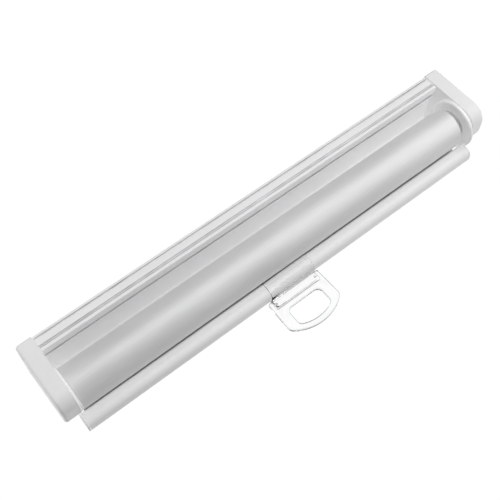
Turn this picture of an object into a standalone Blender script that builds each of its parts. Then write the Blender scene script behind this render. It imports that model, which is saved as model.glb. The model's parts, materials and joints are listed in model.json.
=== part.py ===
"""Spring roller blind in an aluminium cassette, about 0.40 m wide, for a roof window.

X runs along the head rail, +Y points to the window frame behind it and +Z is up. The origin is
the centre of the rail's flat back. Sections are drawn as (y, z) around the roller's axis, in
metres, and every moving group hangs from an empty on its joint's axis.
"""

import math

import bmesh
import bpy
from mathutils import Matrix, Vector

# Roller axis, measured from the middle of the rail's back face
AXIS_Y = -0.0245
AXIS_Z = -0.0153
BACK = 0.0245

# Head rail, an extrusion with a hollow hood and a back wall
RAIL_HALF = 0.1867
RAIL_FRONT = -0.0203
RAIL_TOP = 0.0394
RAIL_BOTTOM = -0.0087
LIP_Z = 0.0261
LIP_BACK = -0.0130
SLOT_TOP = 0.0315
RIB_FRONT = -0.0100
RIB_BACK = -0.0088
RIB_Z = 0.0262
HOOD_Z = 0.0302
RAIL_WALL = 0.0012
BACK_WALL = 0.0014
GROOVES = ((0.0367, 0.0005, 0.0007), (0.0300, 0.0009, 0.0005))  # z, half width, depth
PORT_Y = (-0.0152, 0.0187)
PORT_Z = 0.0344
PORT_HALF = 0.0030
PORT_RADIUS = 0.0016

# End caps
CAP_OUT = 0.2000
CAP_MOUTH = 0.1870
CAP_END_WALL = 0.0020
CAP_WALL = 0.0016
CAP_FRONT = -0.0215
CAP_TOP = 0.0402
CAP_BOTTOM = -0.0181
CAP_ROUND = 0.0133
CAP_BACK_CORNER = -0.0095
CAP_EDGE = 0.0018
CAP_RIM = 0.0012
CAP_WEB = (0.1876, 0.1892)
SCREW_BOSS = 0.0044
HUB_BOSS = 0.0075
HUB_SEAT = 0.0059
HUB_BORE = 0.0043
HUB_START = 0.1900
HEAD_SEAT = 0.0032
BUSH_FLANGE = 0.0055
BUSH_END = 0.1977

# Roller, its plugs and its flange discs
TUBE_OUTER = 0.0125
TUBE_INNER = 0.0115
TUBE_ENDS = (-0.1853, 0.1840)
ROLL_RADIUS = 0.0172
ROLL_ENDS = (-0.1849, 0.1782)
FABRIC = 0.00045
IDLE_DISC = (-0.1858, -0.1866)
IDLE_DISC_RADIUS = 0.0175
SPRING_DISC = (0.1846, 0.1867)
SPRING_DISC_RADIUS = 0.0213
DISC_RIM = 0.0020
RIM_RISE = 0.0006
PLUG_RADIUS = 0.0112
PLUG_INNER = 0.1600

# Spring and spindle inside the right half of the tube
SPINDLE_RADIUS = 0.0025
SPINDLE_ENDS = (0.0580, 0.1966)
TANG_START = 0.1876
TANG_HALF = 0.0012
SPRING_RADIUS = 0.0072
WIRE_RADIUS = 0.0007
SPRING_ENDS = (0.0745, 0.1465)
SPRING_TURNS = 14

# Bottom bar, with a groove for the fabric's hem
BAR_ENDS = (-0.1884, 0.1820)
BAR_FRONT = 0.0090
BAR_EDGE = 0.0026
BAR_BELLY = 0.0060
BAR_BACK = 0.0209
BAR_BACK_EDGE = 0.0016
BAR_BACK_BELLY = 0.0020
BAR_TOP = -0.0151
BAR_BOTTOM = -0.0268
BAR_WALL = 0.0012
BAR_PLATE = 0.0013
GAP = 0.0003
SHEET_Y = 0.0175
HEM_Z = -0.0207
HEM_GROOVE = 0.0021
HEM_SLOT = 0.0006
HEM_ROD = 0.0012

# Pull clip and D-shaped pull ring
CLIP_X = -0.0070
CLIP_HALF = 0.0205
CLIP_WALL = 0.0013
CLIP_CORNER = 0.0060
CLIP_LIP_Y = 0.0140
CLIP_HOOK_Z = -0.0222
TONGUE_THICK = 0.0030
TONGUE_Y = BAR_BACK + GAP + CLIP_WALL - TONGUE_THICK / 2
TONGUE_END = -0.0338
PIVOT_Z = -0.0306
RING_HALF_THICK = 0.0014
RING_SHOULDER = 0.0244
RING_NOTCH = 0.0208
RING_NOTCH_Z = -0.0346
RING_TOP = -0.0272
RING_SIDE = 0.0252
RING_ARC = 0.0390
RING_ARC_Z = -0.0241
RING_BAND = 0.0051
HOLE_HALF = 0.0154
HOLE_TOP = -0.0395
STUD_RADIUS = 0.0006
STUD_BORE = 0.0009


def clear_scene():
    for obj in list(bpy.data.objects):
        bpy.data.objects.remove(obj, do_unlink=True)


def new_collection(name):
    made = bpy.data.collections.new(name)
    bpy.context.scene.collection.children.link(made)
    return made


def material(name, colour, roughness, metallic=0.0, alpha=1.0):
    made = bpy.data.materials.new(name)
    made.use_nodes = True
    shader = made.node_tree.nodes["Principled BSDF"]
    shader.inputs["Base Color"].default_value = (*colour, 1.0)
    shader.inputs["Roughness"].default_value = roughness
    shader.inputs["Metallic"].default_value = metallic
    shader.inputs["Alpha"].default_value = alpha
    return made


clear_scene()
PARTS = new_collection("roller_blind")
CUTTERS = new_collection("cutters")
WHITE_PAINT = material("white_paint", (0.82, 0.82, 0.82), 0.35)
WHITE_PLASTIC = material("white_plastic", (0.80, 0.80, 0.80), 0.45)
FABRIC_GREY = material("silver_grey_fabric", (0.45, 0.45, 0.45), 0.55)
CLEAR_PLASTIC = material("clear_plastic", (0.85, 0.85, 0.85), 0.10, 0.0, 0.4)
GREY_PLASTIC = material("grey_plastic", (0.35, 0.35, 0.36), 0.50)
STEEL = material("steel", (0.60, 0.60, 0.62), 0.30, 1.0)
ALUMINIUM = material("aluminium", (0.75, 0.75, 0.76), 0.35, 1.0)


def rounded(corners, step=math.radians(20)):
    """Points of a closed outline, each corner (u, v, radius) turned as an arc."""
    points = []
    for i, (u, v, radius) in enumerate(corners):
        here = Vector((u, v))
        if radius == 0:
            points.append(here)
            continue
        before = (Vector(corners[i - 1][:2]) - here).normalized()
        after = (Vector(corners[(i + 1) % len(corners)][:2]) - here).normalized()
        half = before.angle(after) / 2
        turn = math.pi - 2 * half
        centre = here + (before + after).normalized() * radius / math.sin(half)
        arm = here + before * radius / math.tan(half) - centre
        side = 1 if before.cross(after) < 0 else -1
        steps = max(1, math.ceil(turn / step))
        for k in range(steps + 1):
            points.append(centre + Matrix.Rotation(side * turn * k / steps, 2) @ arm)
    return points


def circle(u, v, radius, sides=16):
    turns = [2 * math.pi * k / sides for k in range(sides)]
    return [Vector((u + radius * math.cos(a), v + radius * math.sin(a))) for a in turns]


def link(obj, finish, parent):
    """Puts a piece in the parts collection, with its material and under its joint's empty."""
    PARTS.objects.link(obj)
    obj.data.materials.clear()
    obj.data.materials.append(finish)
    if parent:
        obj.parent = parent
        obj.matrix_parent_inverse = parent.matrix_world.inverted()
    return obj


def as_cutter(obj):
    CUTTERS.objects.link(obj)
    obj.hide_render = True
    obj.display_type = "WIRE"
    return obj


def extrusion(name, loops, start, end, along="X", centre=0.0):
    """A flat outline drawn around the roller's axis and extruded along X or, at x = centre, along Y."""
    data = bpy.data.curves.new(name, "CURVE")
    data.dimensions = "2D"
    data.fill_mode = "BOTH"
    data.extrude = (end - start) / 2
    for loop in loops:
        spline = data.splines.new("POLY")
        spline.points.add(len(loop) - 1)
        spline.use_cyclic_u = True
        for point, (u, v) in zip(spline.points, loop):
            point.co = (u, v, 0.0, 1.0)
    obj = bpy.data.objects.new(name, data)
    middle = (start + end) / 2
    if along == "X":
        obj.rotation_euler = (math.pi / 2, 0.0, math.pi / 2)
        obj.location = (middle, AXIS_Y, AXIS_Z)
    else:
        obj.rotation_euler = (math.pi / 2, 0.0, 0.0)
        obj.location = (centre, AXIS_Y + middle, AXIS_Z)
    return obj


def as_mesh(curve):
    """The curve's solid as a mesh object in the same place, with its caps welded on."""
    PARTS.objects.link(curve)
    bpy.context.view_layer.update()
    graph = bpy.context.evaluated_depsgraph_get()
    mesh = bpy.data.meshes.new_from_object(curve.evaluated_get(graph))
    bm = bmesh.new()
    bm.from_mesh(mesh)
    bmesh.ops.remove_doubles(bm, verts=bm.verts, dist=1e-6)
    bmesh.ops.recalc_face_normals(bm, faces=bm.faces)
    bm.to_mesh(mesh)
    bm.free()
    name, place = curve.name, curve.matrix_world.copy()
    bpy.data.objects.remove(curve, do_unlink=True)
    obj = bpy.data.objects.new(name, mesh)
    obj.matrix_world = place
    return obj


def turned(name, profile, sides=48, closed=False):
    """A profile of (x, radius), from its +X end down to its -X end, turned round the roller's axis."""
    mesh = bpy.data.meshes.new(name)
    count = len(profile)
    edges = [(i, i + 1) for i in range(count - 1)]
    if closed:
        edges.append((count - 1, 0))
    mesh.from_pydata([(radius, 0.0, x) for x, radius in profile], edges, [])
    obj = bpy.data.objects.new(name, mesh)
    obj.rotation_euler = (0.0, math.pi / 2, 0.0)
    obj.location = (0.0, AXIS_Y, AXIS_Z)
    screw = obj.modifiers.new("turn", "SCREW")
    screw.axis = "Z"
    screw.steps = sides
    screw.render_steps = sides
    screw.use_merge_vertices = True
    screw.merge_threshold = 1e-6
    screw.use_smooth_shade = True
    return obj


def tube(name, ends, inner, outer, sides=48):
    low, high = ends
    return turned(name, [(high, outer), (low, outer), (low, inner), (high, inner)], sides, True)


def cylinder(name, low, high, u, v, radius, sides=24):
    """A cylinder along X at (y, z) = (u, v), measured from the roller's axis."""
    mesh = bpy.data.meshes.new(name)
    bm = bmesh.new()
    bmesh.ops.create_cone(
        bm, cap_ends=True, segments=sides, radius1=radius, radius2=radius, depth=high - low
    )
    bm.to_mesh(mesh)
    bm.free()
    obj = bpy.data.objects.new(name, mesh)
    obj.rotation_euler = (0.0, math.pi / 2, 0.0)
    obj.location = ((low + high) / 2, AXIS_Y + u, AXIS_Z + v)
    return obj


def block(name, low, high):
    """A box between two corners, given as (x, y, z) from the roller's axis."""
    mesh = bpy.data.meshes.new(name)
    size = [b - a for a, b in zip(low, high)]
    bm = bmesh.new()
    bmesh.ops.create_cube(bm, size=1.0, matrix=Matrix.Diagonal((*size, 1.0)))
    bm.to_mesh(mesh)
    bm.free()
    obj = bpy.data.objects.new(name, mesh)
    x, y, z = [(a + b) / 2 for a, b in zip(low, high)]
    obj.location = (x, AXIS_Y + y, AXIS_Z + z)
    return obj


def boolean(obj, tool, operation="DIFFERENCE"):
    modifier = obj.modifiers.new(tool.name, "BOOLEAN")
    modifier.operation = operation
    modifier.solver = "EXACT"
    modifier.object = as_cutter(tool)


def empty(name, x, y, z):
    obj = bpy.data.objects.new(name, None)
    obj.location = (x, AXIS_Y + y, AXIS_Z + z)
    obj.empty_display_size = 0.02
    PARTS.objects.link(obj)
    bpy.context.view_layer.update()
    return obj


# Head rail and end caps


def make_head_rail():
    """The hood, with two grooves in its face, a brush slot behind its lip and two screw ports."""
    face = []
    for z, half, depth in GROOVES:
        face += [
            (RAIL_FRONT, z + half, 0),
            (RAIL_FRONT + depth, z + half, 0),
            (RAIL_FRONT + depth, z - half, 0),
            (RAIL_FRONT, z - half, 0),
        ]
    outer = rounded(
        [(BACK, RAIL_TOP, 0), (RAIL_FRONT, RAIL_TOP, 0.0008)]
        + face
        + [
            (RAIL_FRONT, LIP_Z, 0.0005),
            (LIP_BACK, LIP_Z, 0.0005),
            (LIP_BACK, SLOT_TOP, 0),
            (RIB_FRONT, SLOT_TOP, 0),
            (RIB_FRONT, RIB_Z, 0),
            (RIB_BACK, RIB_Z, 0),
            (RIB_BACK, HOOD_Z, 0),
            (BACK - BACK_WALL, HOOD_Z, 0.0010),
            (BACK - BACK_WALL, RAIL_BOTTOM, 0),
            (BACK, RAIL_BOTTOM, 0),
        ]
    )
    top = RAIL_TOP - RAIL_WALL
    floor = PORT_Z - PORT_HALF
    left = RAIL_FRONT + RAIL_WALL
    right = LIP_BACK - RAIL_WALL
    low = LIP_Z + RAIL_WALL
    lip_hollow = [Vector(point) for point in ((left, low), (right, low), (right, floor), (left, floor))]
    port_left = PORT_Y[0] + PORT_HALF
    port_right = PORT_Y[1] - PORT_HALF
    slot_roof = SLOT_TOP + RAIL_WALL
    hood_hollow = [
        Vector(point)
        for point in (
            (RIB_BACK, floor),
            (port_right, floor),
            (port_right, top),
            (port_left, top),
            (port_left, slot_roof),
            (RIB_BACK, slot_roof),
        )
    ]
    ports = [circle(y, PORT_Z, PORT_RADIUS) for y in PORT_Y]
    loops = [outer, lip_hollow, hood_hollow, *ports]
    rail = extrusion("head_rail", loops, -RAIL_HALF, RAIL_HALF)
    link(rail, WHITE_PAINT, None)


def cap_outline(inset, back=None):
    """The cap's section inset by a wall, which reaches back as far as the rest unless back is given."""
    front = CAP_FRONT + inset
    bottom = CAP_BOTTOM + inset
    if back is None:
        back = BACK - inset
    return rounded(
        [
            (back, CAP_TOP - inset, 0.0010),
            (front, CAP_TOP - inset, 0.0015),
            (front, bottom, CAP_ROUND - inset),
            (0.0020, bottom, 0.0080),
            (back, CAP_BACK_CORNER + inset, 0.0015),
        ]
    )


def round_outer_end(cap, side):
    """Rounds the rim where the cap's outer face meets its sides."""
    bm = bmesh.new()
    bm.from_mesh(cap.data)
    outer_z = max(side * vertex.co.z for vertex in bm.verts)
    rim = [e for e in bm.edges if all(side * v.co.z > outer_z - 1e-5 for v in e.verts)]
    bmesh.ops.bevel(
        bm, geom=rim, offset=CAP_EDGE, segments=3, profile=0.5, affect="EDGES", clamp_overlap=True
    )
    bm.to_mesh(cap.data)
    bm.free()


def make_end_cap(word, side):
    """A moulded box, open at its back, whose inner web carries two screw bosses and a hub."""

    def span(low, high):
        return sorted((side * low, side * high))

    name = "end_cap_" + word
    cap = as_mesh(extrusion(name, [cap_outline(0.0)], *span(CAP_MOUTH, CAP_OUT)))
    round_outer_end(cap, side)
    web_face, web_back = CAP_WEB
    floor = CAP_OUT - CAP_END_WALL
    mouth = extrusion(name + "_mouth", [cap_outline(CAP_RIM)], *span(CAP_MOUTH - 0.001, web_face))
    boolean(cap, as_mesh(mouth))
    outline = cap_outline(CAP_WALL, BACK + 0.002)
    boolean(cap, as_mesh(extrusion(name + "_hollow", [outline], *span(web_back, floor))))
    inside = span(web_back - 0.0005, floor + 0.0005)
    for i, y in enumerate(PORT_Y):
        boss = cylinder(f"{name}_boss_{i}", *inside, y, PORT_Z, SCREW_BOSS)
        boolean(cap, boss, "UNION")
    hub = cylinder(name + "_hub", *inside, 0.0, 0.0, HUB_BOSS, 32)
    boolean(cap, hub, "UNION")
    seat = cylinder(name + "_seat", *span(CAP_MOUTH, HUB_START), 0.0, 0.0, HUB_SEAT, 32)
    boolean(cap, seat)
    bore = cylinder(name + "_bore", *span(HUB_START - 0.001, floor), 0.0, 0.0, HUB_BORE, 32)
    boolean(cap, bore)
    for i, y in enumerate(PORT_Y):
        ends = span(CAP_MOUTH - 0.001, CAP_OUT + 0.001)
        boolean(cap, cylinder(f"{name}_screw_hole_{i}", *ends, y, PORT_Z, PORT_RADIUS))
        ends = span(CAP_OUT - 0.0020, CAP_OUT + 0.001)
        boolean(cap, cylinder(f"{name}_head_seat_{i}", *ends, y, PORT_Z, HEAD_SEAT))
    link(cap, WHITE_PLASTIC, None)


def make_screws():
    """Flat-head screws through the caps into the rail's ports, all sharing one mesh."""
    head, shank = 0.0028, 0.00125
    top, under, tip = 0.1997, 0.1983, 0.1740
    profile = [
        (top, 0.0),
        (top, head),
        (under, head),
        (under - 0.0001, shank),
        (tip + 0.0015, shank),
        (tip, 0.0),
    ]
    pattern = turned("cap_screw_pattern", profile, 20)
    for i, (dy, dz) in enumerate(((0.0017, 0.0004), (0.0004, 0.0017))):
        arm = block(f"driver_arm_{i}", (0.1990, -dy, -dz), (0.2010, dy, dz))
        boolean(pattern, arm)
    PARTS.objects.link(pattern)
    bpy.context.view_layer.update()
    graph = bpy.context.evaluated_depsgraph_get()
    mesh = bpy.data.meshes.new_from_object(pattern.evaluated_get(graph))
    bpy.data.objects.remove(pattern, do_unlink=True)
    for side, word in ((-1, "left"), (1, "right")):
        for y, place in zip(PORT_Y, ("front", "back")):
            screw = bpy.data.objects.new(f"cap_screw_{word}_{place}", mesh)
            screw.rotation_euler = (0.0, side * math.pi / 2, 0.0)
            screw.location = (0.0, AXIS_Y + y, AXIS_Z + PORT_Z)
            link(screw, STEEL, None)


# Roller and spring


def make_roller(roller):
    link(tube("roller_tube", TUBE_ENDS, TUBE_INNER, TUBE_OUTER), ALUMINIUM, roller)
    link(tube("fabric_roll", ROLL_ENDS, TUBE_OUTER + GAP, ROLL_RADIUS, 64), FABRIC_GREY, roller)


def disc_profile(inner_face, outer_face, radius):
    """The outer side of a flange disc, from its roll side to its cap side."""
    way = 1 if outer_face > inner_face else -1
    soft = 0.0006
    return [
        (inner_face, radius - DISC_RIM - RIM_RISE),
        (inner_face - way * RIM_RISE, radius - DISC_RIM),
        (inner_face - way * RIM_RISE, radius - soft),
        (inner_face - way * (RIM_RISE - soft), radius),
        (outer_face - way * soft, radius),
        (outer_face, radius - soft),
    ]


def make_idle_end(roller):
    """The left plug and disc, its steel pin, and the bush that carries the pin in the cap."""
    pin, clearance = 0.0020, 0.0023
    bore_floor = -0.1655
    inner_face, outer_face = IDLE_DISC
    profile = [(-PLUG_INNER, 0.0), (-PLUG_INNER, PLUG_RADIUS), (inner_face + 0.0002, PLUG_RADIUS)]
    profile += [(inner_face, PLUG_RADIUS + 0.0002)]
    profile += disc_profile(inner_face, outer_face, IDLE_DISC_RADIUS)
    profile += [(outer_face, clearance), (bore_floor, clearance), (bore_floor, 0.0)]
    link(turned("idle_plug", profile), WHITE_PLASTIC, roller)
    ends = (-0.1965, bore_floor - 0.0005)
    low, high = ends
    chamfer = 0.0004
    profile = [(high, 0.0), (high, pin), (low + chamfer, pin), (low, pin - chamfer), (low, 0.0)]
    link(turned("idle_pin", profile, 24), STEEL, roller)
    flange = -HUB_START + 2 * GAP
    bush = [
        (flange + 0.0010, clearance),
        (flange + 0.0010, BUSH_FLANGE),
        (flange - GAP, BUSH_FLANGE),
        (flange - GAP, HUB_BORE - GAP),
        (-BUSH_END, HUB_BORE - GAP),
        (-BUSH_END, clearance),
    ]
    link(turned("idle_bush", bush, 32, True), GREY_PLASTIC, None)


def make_spring_end(roller):
    """The right plug and disc, turning on a fixed spindle that the torsion spring winds against."""
    bore = HUB_BORE
    inner_face, outer_face = SPRING_DISC
    hub_end, hub_radius = 0.1460, 0.0060
    profile = [(outer_face, bore)]
    profile += disc_profile(inner_face, outer_face, SPRING_DISC_RADIUS)[::-1]
    profile += [
        (inner_face, PLUG_RADIUS),
        (PLUG_INNER, PLUG_RADIUS),
        (PLUG_INNER, hub_radius),
        (hub_end, hub_radius),
        (hub_end, bore),
    ]
    link(turned("spring_plug", profile, 48, True), WHITE_PLASTIC, roller)
    bush_ends = (hub_end + 0.0005, outer_face - 0.0003)
    bush = tube("spindle_bush", bush_ends, SPINDLE_RADIUS + GAP, bore - GAP, 24)
    link(bush, GREY_PLASTIC, roller)

    low, high = SPINDLE_ENDS
    spindle = cylinder("spring_spindle", low, high, 0.0, 0.0, SPINDLE_RADIUS)
    for i, way in enumerate((-1, 1)):
        near, far = sorted((way * TANG_HALF, way * 0.004))
        flat = block(f"tang_flat_{i}", (TANG_START, near, -0.004), (high + 0.001, far, 0.004))
        boolean(spindle, flat)
    link(spindle, STEEL, None)

    face = HUB_START - GAP
    socket = [
        (BUSH_END, 0.0),
        (BUSH_END, HUB_BORE - GAP),
        (face, HUB_BORE - GAP),
        (face, BUSH_FLANGE),
        (face - 0.0010, BUSH_FLANGE),
        (face - 0.0010, 0.0),
    ]
    socket = turned("spindle_socket", socket, 32)
    slot_half = TANG_HALF + GAP
    slot_tall = SPINDLE_RADIUS + GAP
    slot = block(
        "spindle_slot", (0.1880, -slot_half, -slot_tall), (high + GAP, slot_half, slot_tall)
    )
    boolean(socket, slot)
    link(socket, GREY_PLASTIC, None)

    start = low + 0.0020
    collar = [
        (start + 0.0180, SPINDLE_RADIUS + GAP),
        (start + 0.0180, hub_radius),
        (start + 0.0120, hub_radius),
        (start + 0.0120, 0.0090),
        (start, 0.0090),
        (start, SPINDLE_RADIUS + GAP),
    ]
    link(turned("spring_collar", collar, 32, True), GREY_PLASTIC, None)


def make_spring():
    """One torsion spring, close to the spindle's collar at one end and the plug's hub at the other."""
    low, high = SPRING_ENDS
    per_turn = 12
    count = SPRING_TURNS * per_turn
    data = bpy.data.curves.new("torsion_spring", "CURVE")
    data.dimensions = "3D"
    data.bevel_depth = WIRE_RADIUS
    data.bevel_resolution = 2
    data.use_fill_caps = True
    spline = data.splines.new("POLY")
    spline.points.add(count)
    for k, point in enumerate(spline.points):
        angle = 2 * math.pi * k / per_turn
        x = low + (high - low) * k / count
        point.co = (x, SPRING_RADIUS * math.cos(angle), SPRING_RADIUS * math.sin(angle), 1.0)
    spring = bpy.data.objects.new("torsion_spring", data)
    spring.location = (0.0, AXIS_Y, AXIS_Z)
    link(spring, STEEL, None)


# Fabric drop and bottom bar


def make_bar(bar):
    """A rounded extrusion whose top slot opens into a round groove for the fabric's hem."""
    dip = math.asin(HEM_SLOT / HEM_GROOVE)
    steps = 16
    groove = []
    for k in range(steps + 1):
        angle = math.pi / 2 - dip - (2 * math.pi - 2 * dip) * k / steps
        y = SHEET_Y + HEM_GROOVE * math.cos(angle)
        groove.append((y, HEM_Z + HEM_GROOVE * math.sin(angle), 0))
    outer = rounded(
        [
            (BAR_BACK, BAR_TOP, BAR_BACK_EDGE),
            (SHEET_Y + HEM_SLOT, BAR_TOP, 0),
            *groove,
            (SHEET_Y - HEM_SLOT, BAR_TOP, 0),
            (BAR_FRONT, BAR_TOP, BAR_EDGE),
            (BAR_FRONT, BAR_BOTTOM, BAR_BELLY),
            (BAR_BACK, BAR_BOTTOM, BAR_BACK_BELLY),
        ]
    )
    inner_right = SHEET_Y - HEM_GROOVE - BAR_WALL
    hollow = rounded(
        [
            (inner_right, BAR_TOP - BAR_WALL, 0),
            (BAR_FRONT + BAR_WALL, BAR_TOP - BAR_WALL, BAR_EDGE - BAR_WALL),
            (BAR_FRONT + BAR_WALL, BAR_BOTTOM + BAR_WALL, BAR_BELLY - BAR_WALL),
            (inner_right, BAR_BOTTOM + BAR_WALL, 0),
        ]
    )
    link(extrusion("bottom_bar", [outer, hollow], *BAR_ENDS), WHITE_PAINT, bar)
    plate = rounded(
        [
            (BAR_BACK, BAR_TOP, BAR_BACK_EDGE),
            (BAR_FRONT, BAR_TOP, BAR_EDGE),
            (BAR_FRONT, BAR_BOTTOM, BAR_BELLY),
            (BAR_BACK, BAR_BOTTOM, BAR_BACK_BELLY),
        ]
    )
    tongue_y = (BAR_FRONT + BAR_WALL + 2 * GAP, inner_right - 2 * GAP)
    tongue_z = (BAR_BOTTOM + 0.0045, BAR_TOP - 0.0030)
    for word, near, way in (("left", BAR_ENDS[0], -1), ("right", BAR_ENDS[1], 1)):
        x = sorted((near + way * GAP, near + way * (GAP + BAR_PLATE)))
        cap = as_mesh(extrusion("bar_cap_" + word, [plate], *x))
        x = sorted((near + way * 0.0008, near - way * 0.0080))
        tongue = block(
            f"bar_cap_tongue_{word}", (x[0], tongue_y[0], tongue_z[0]), (x[1], tongue_y[1], tongue_z[1])
        )
        boolean(cap, tongue, "UNION")
        link(cap, WHITE_PLASTIC, bar)
    low, high = ROLL_ENDS
    link(cylinder("hem_rod", low, high, SHEET_Y, HEM_Z, HEM_ROD, 16), GREY_PLASTIC, bar)
    half = FABRIC / 2
    top_of_rod = HEM_Z + HEM_ROD + GAP
    drop = block("fabric_drop", (low, SHEET_Y - half, top_of_rod), (high, SHEET_Y + half, 0.0))
    link(drop, FABRIC_GREY, bar)


# Pull clip and ring


def make_clip(clip):
    """A spring clip that hooks over the bar's top and round its lower back edge, with a tongue."""
    near = GAP
    far = GAP + CLIP_WALL
    outside = [
        (CLIP_LIP_Y, BAR_TOP + far, 0.0005),
        (BAR_FRONT - far, BAR_TOP + far, CLIP_CORNER),
        (BAR_FRONT - far, BAR_BOTTOM - far, BAR_BELLY + far),
        (BAR_BACK + far - TONGUE_THICK, BAR_BOTTOM - far, 0.0006),
        (BAR_BACK + far - TONGUE_THICK, TONGUE_END, 0.0008),
        (BAR_BACK + far, TONGUE_END, 0.0008),
        (BAR_BACK + far, CLIP_HOOK_Z, 0.0005),
    ]
    inside = [
        (BAR_BACK + near, CLIP_HOOK_Z, 0.0005),
        (BAR_BACK + near, BAR_BOTTOM - near, BAR_BACK_BELLY + near),
        (BAR_FRONT - near, BAR_BOTTOM - near, BAR_BELLY + near),
        (BAR_FRONT - near, BAR_TOP + near, BAR_EDGE + near),
        (CLIP_LIP_Y, BAR_TOP + near, 0.0005),
    ]
    ends = (CLIP_X - CLIP_HALF, CLIP_X + CLIP_HALF)
    body = as_mesh(extrusion("pull_clip", [rounded(outside + inside)], *ends))
    depth = 0.0018
    for i, (low, high) in enumerate(
        ((ends[0] - 0.001, ends[0] + depth), (ends[1] - depth, ends[1] + 0.001))
    ):
        boolean(body, cylinder(f"stud_bore_{i}", low, high, TONGUE_Y, PIVOT_Z, STUD_BORE, 16))
    link(body, CLEAR_PLASTIC, clip)


def arc_z(radius, x):
    """The height of the ring's lower arc of that radius, at x from its middle."""
    return RING_ARC_Z - math.sqrt(radius * radius - x * x)


def ring_arc(radius, reach, steps):
    """Sharp corners along the ring's lower arc, from -reach to +reach."""
    xs = [-reach + 2 * reach * k / steps for k in range(steps + 1)]
    return [(x, arc_z(radius, x), 0) for x in xs]


def make_ring(ring):
    """A D-shaped loop hung on two studs that snap into the ends of the clip's tongue."""
    corner_z = arc_z(RING_ARC, RING_SIDE)
    outer = rounded(
        [(RING_SIDE, corner_z, 0.0060), (RING_SHOULDER, RING_TOP, 0.0012)]
        + [(RING_NOTCH, RING_TOP, 0.0004), (RING_NOTCH, RING_NOTCH_Z, 0.0006)]
        + [(-RING_NOTCH, RING_NOTCH_Z, 0.0006), (-RING_NOTCH, RING_TOP, 0.0004)]
        + [(-RING_SHOULDER, RING_TOP, 0.0012), (-RING_SIDE, corner_z, 0.0060)]
        + ring_arc(RING_ARC, 0.0200, 10)
    )
    inner_radius = RING_ARC - RING_BAND
    corner_z = arc_z(inner_radius, HOLE_HALF)
    hole = rounded(
        [(HOLE_HALF, corner_z, 0.0035), (HOLE_HALF, HOLE_TOP, 0.0040)]
        + [(-HOLE_HALF, HOLE_TOP, 0.0040), (-HOLE_HALF, corner_z, 0.0035)]
        + ring_arc(inner_radius, 0.0110, 6)
    )
    low, high = TONGUE_Y - RING_HALF_THICK, TONGUE_Y + RING_HALF_THICK
    body = as_mesh(extrusion("pull_ring", [outer, hole], low, high, "Y", CLIP_X))
    for i, way in enumerate((-1, 1)):
        ends = sorted((CLIP_X + way * (CLIP_HALF - 0.0012), CLIP_X + way * (RING_NOTCH + 0.001)))
        stud = cylinder(f"ring_stud_{i}", *ends, TONGUE_Y, PIVOT_Z, STUD_RADIUS, 12)
        boolean(body, stud, "UNION")
    link(body, CLEAR_PLASTIC, ring)


make_head_rail()
make_end_cap("left", -1)
make_end_cap("right", 1)
make_screws()
ROLLER = empty("roller_axis", 0.0, 0.0, 0.0)
make_roller(ROLLER)
make_idle_end(ROLLER)
make_spring_end(ROLLER)
make_spring()
BAR = empty("bar_slide", 0.0, SHEET_Y, BAR_TOP)
make_bar(BAR)
CLIP = empty("clip_slide", CLIP_X, TONGUE_Y, BAR_BOTTOM)
make_clip(CLIP)
RING = empty("ring_hinge", CLIP_X, TONGUE_Y, PIVOT_Z)
make_ring(RING)
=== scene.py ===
"""The looks of a white cassette roller blind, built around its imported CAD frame.

X runs along the head rail, +Y points to the window frame and +Z is up, in metres. Sections are
drawn as (y, z) around the roller's axis.
"""

import json
import math

import bmesh
import bpy
from mathutils import Matrix, Vector


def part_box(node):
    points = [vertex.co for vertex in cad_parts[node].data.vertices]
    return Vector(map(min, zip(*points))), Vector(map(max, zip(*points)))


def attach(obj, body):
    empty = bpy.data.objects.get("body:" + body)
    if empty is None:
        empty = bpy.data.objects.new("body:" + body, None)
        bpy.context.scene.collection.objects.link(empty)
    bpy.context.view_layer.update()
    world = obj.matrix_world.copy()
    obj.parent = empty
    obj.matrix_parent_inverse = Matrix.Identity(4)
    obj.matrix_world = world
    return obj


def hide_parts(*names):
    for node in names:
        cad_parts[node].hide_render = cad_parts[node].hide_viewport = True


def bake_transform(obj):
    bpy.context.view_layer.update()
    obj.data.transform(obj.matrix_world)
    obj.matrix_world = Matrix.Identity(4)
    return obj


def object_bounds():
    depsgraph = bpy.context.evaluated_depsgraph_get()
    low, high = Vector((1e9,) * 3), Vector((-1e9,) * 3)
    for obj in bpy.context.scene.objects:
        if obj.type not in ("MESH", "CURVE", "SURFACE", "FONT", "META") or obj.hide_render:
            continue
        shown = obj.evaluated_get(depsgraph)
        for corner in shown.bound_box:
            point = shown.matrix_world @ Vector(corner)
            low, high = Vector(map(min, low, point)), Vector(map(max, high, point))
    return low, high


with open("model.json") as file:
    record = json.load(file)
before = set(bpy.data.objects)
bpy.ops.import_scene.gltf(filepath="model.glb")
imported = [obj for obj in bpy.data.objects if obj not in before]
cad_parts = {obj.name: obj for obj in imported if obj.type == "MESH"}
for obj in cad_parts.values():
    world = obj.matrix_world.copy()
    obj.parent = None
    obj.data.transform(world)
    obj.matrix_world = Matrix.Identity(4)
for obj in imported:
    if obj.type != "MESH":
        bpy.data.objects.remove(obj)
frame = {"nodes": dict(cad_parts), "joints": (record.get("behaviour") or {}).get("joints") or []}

CAD_BOX = [list(corner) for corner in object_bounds()]
JOINTS = {joint["name"]: joint for joint in frame["joints"]}
AXIS = Vector(JOINTS["roller_spin"]["pos_m"])
PIVOT = Vector(JOINTS["ring_swing"]["pos_m"])


def around_axis(node):
    """A CAD node's box as ((x, x), (y, y), (z, z)), with y and z from the roller's axis."""
    low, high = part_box(node)
    return (low.x, high.x), (low.y - AXIS.y, high.y - AXIS.y), (low.z - AXIS.z, high.z - AXIS.z)


# Shapes

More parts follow.
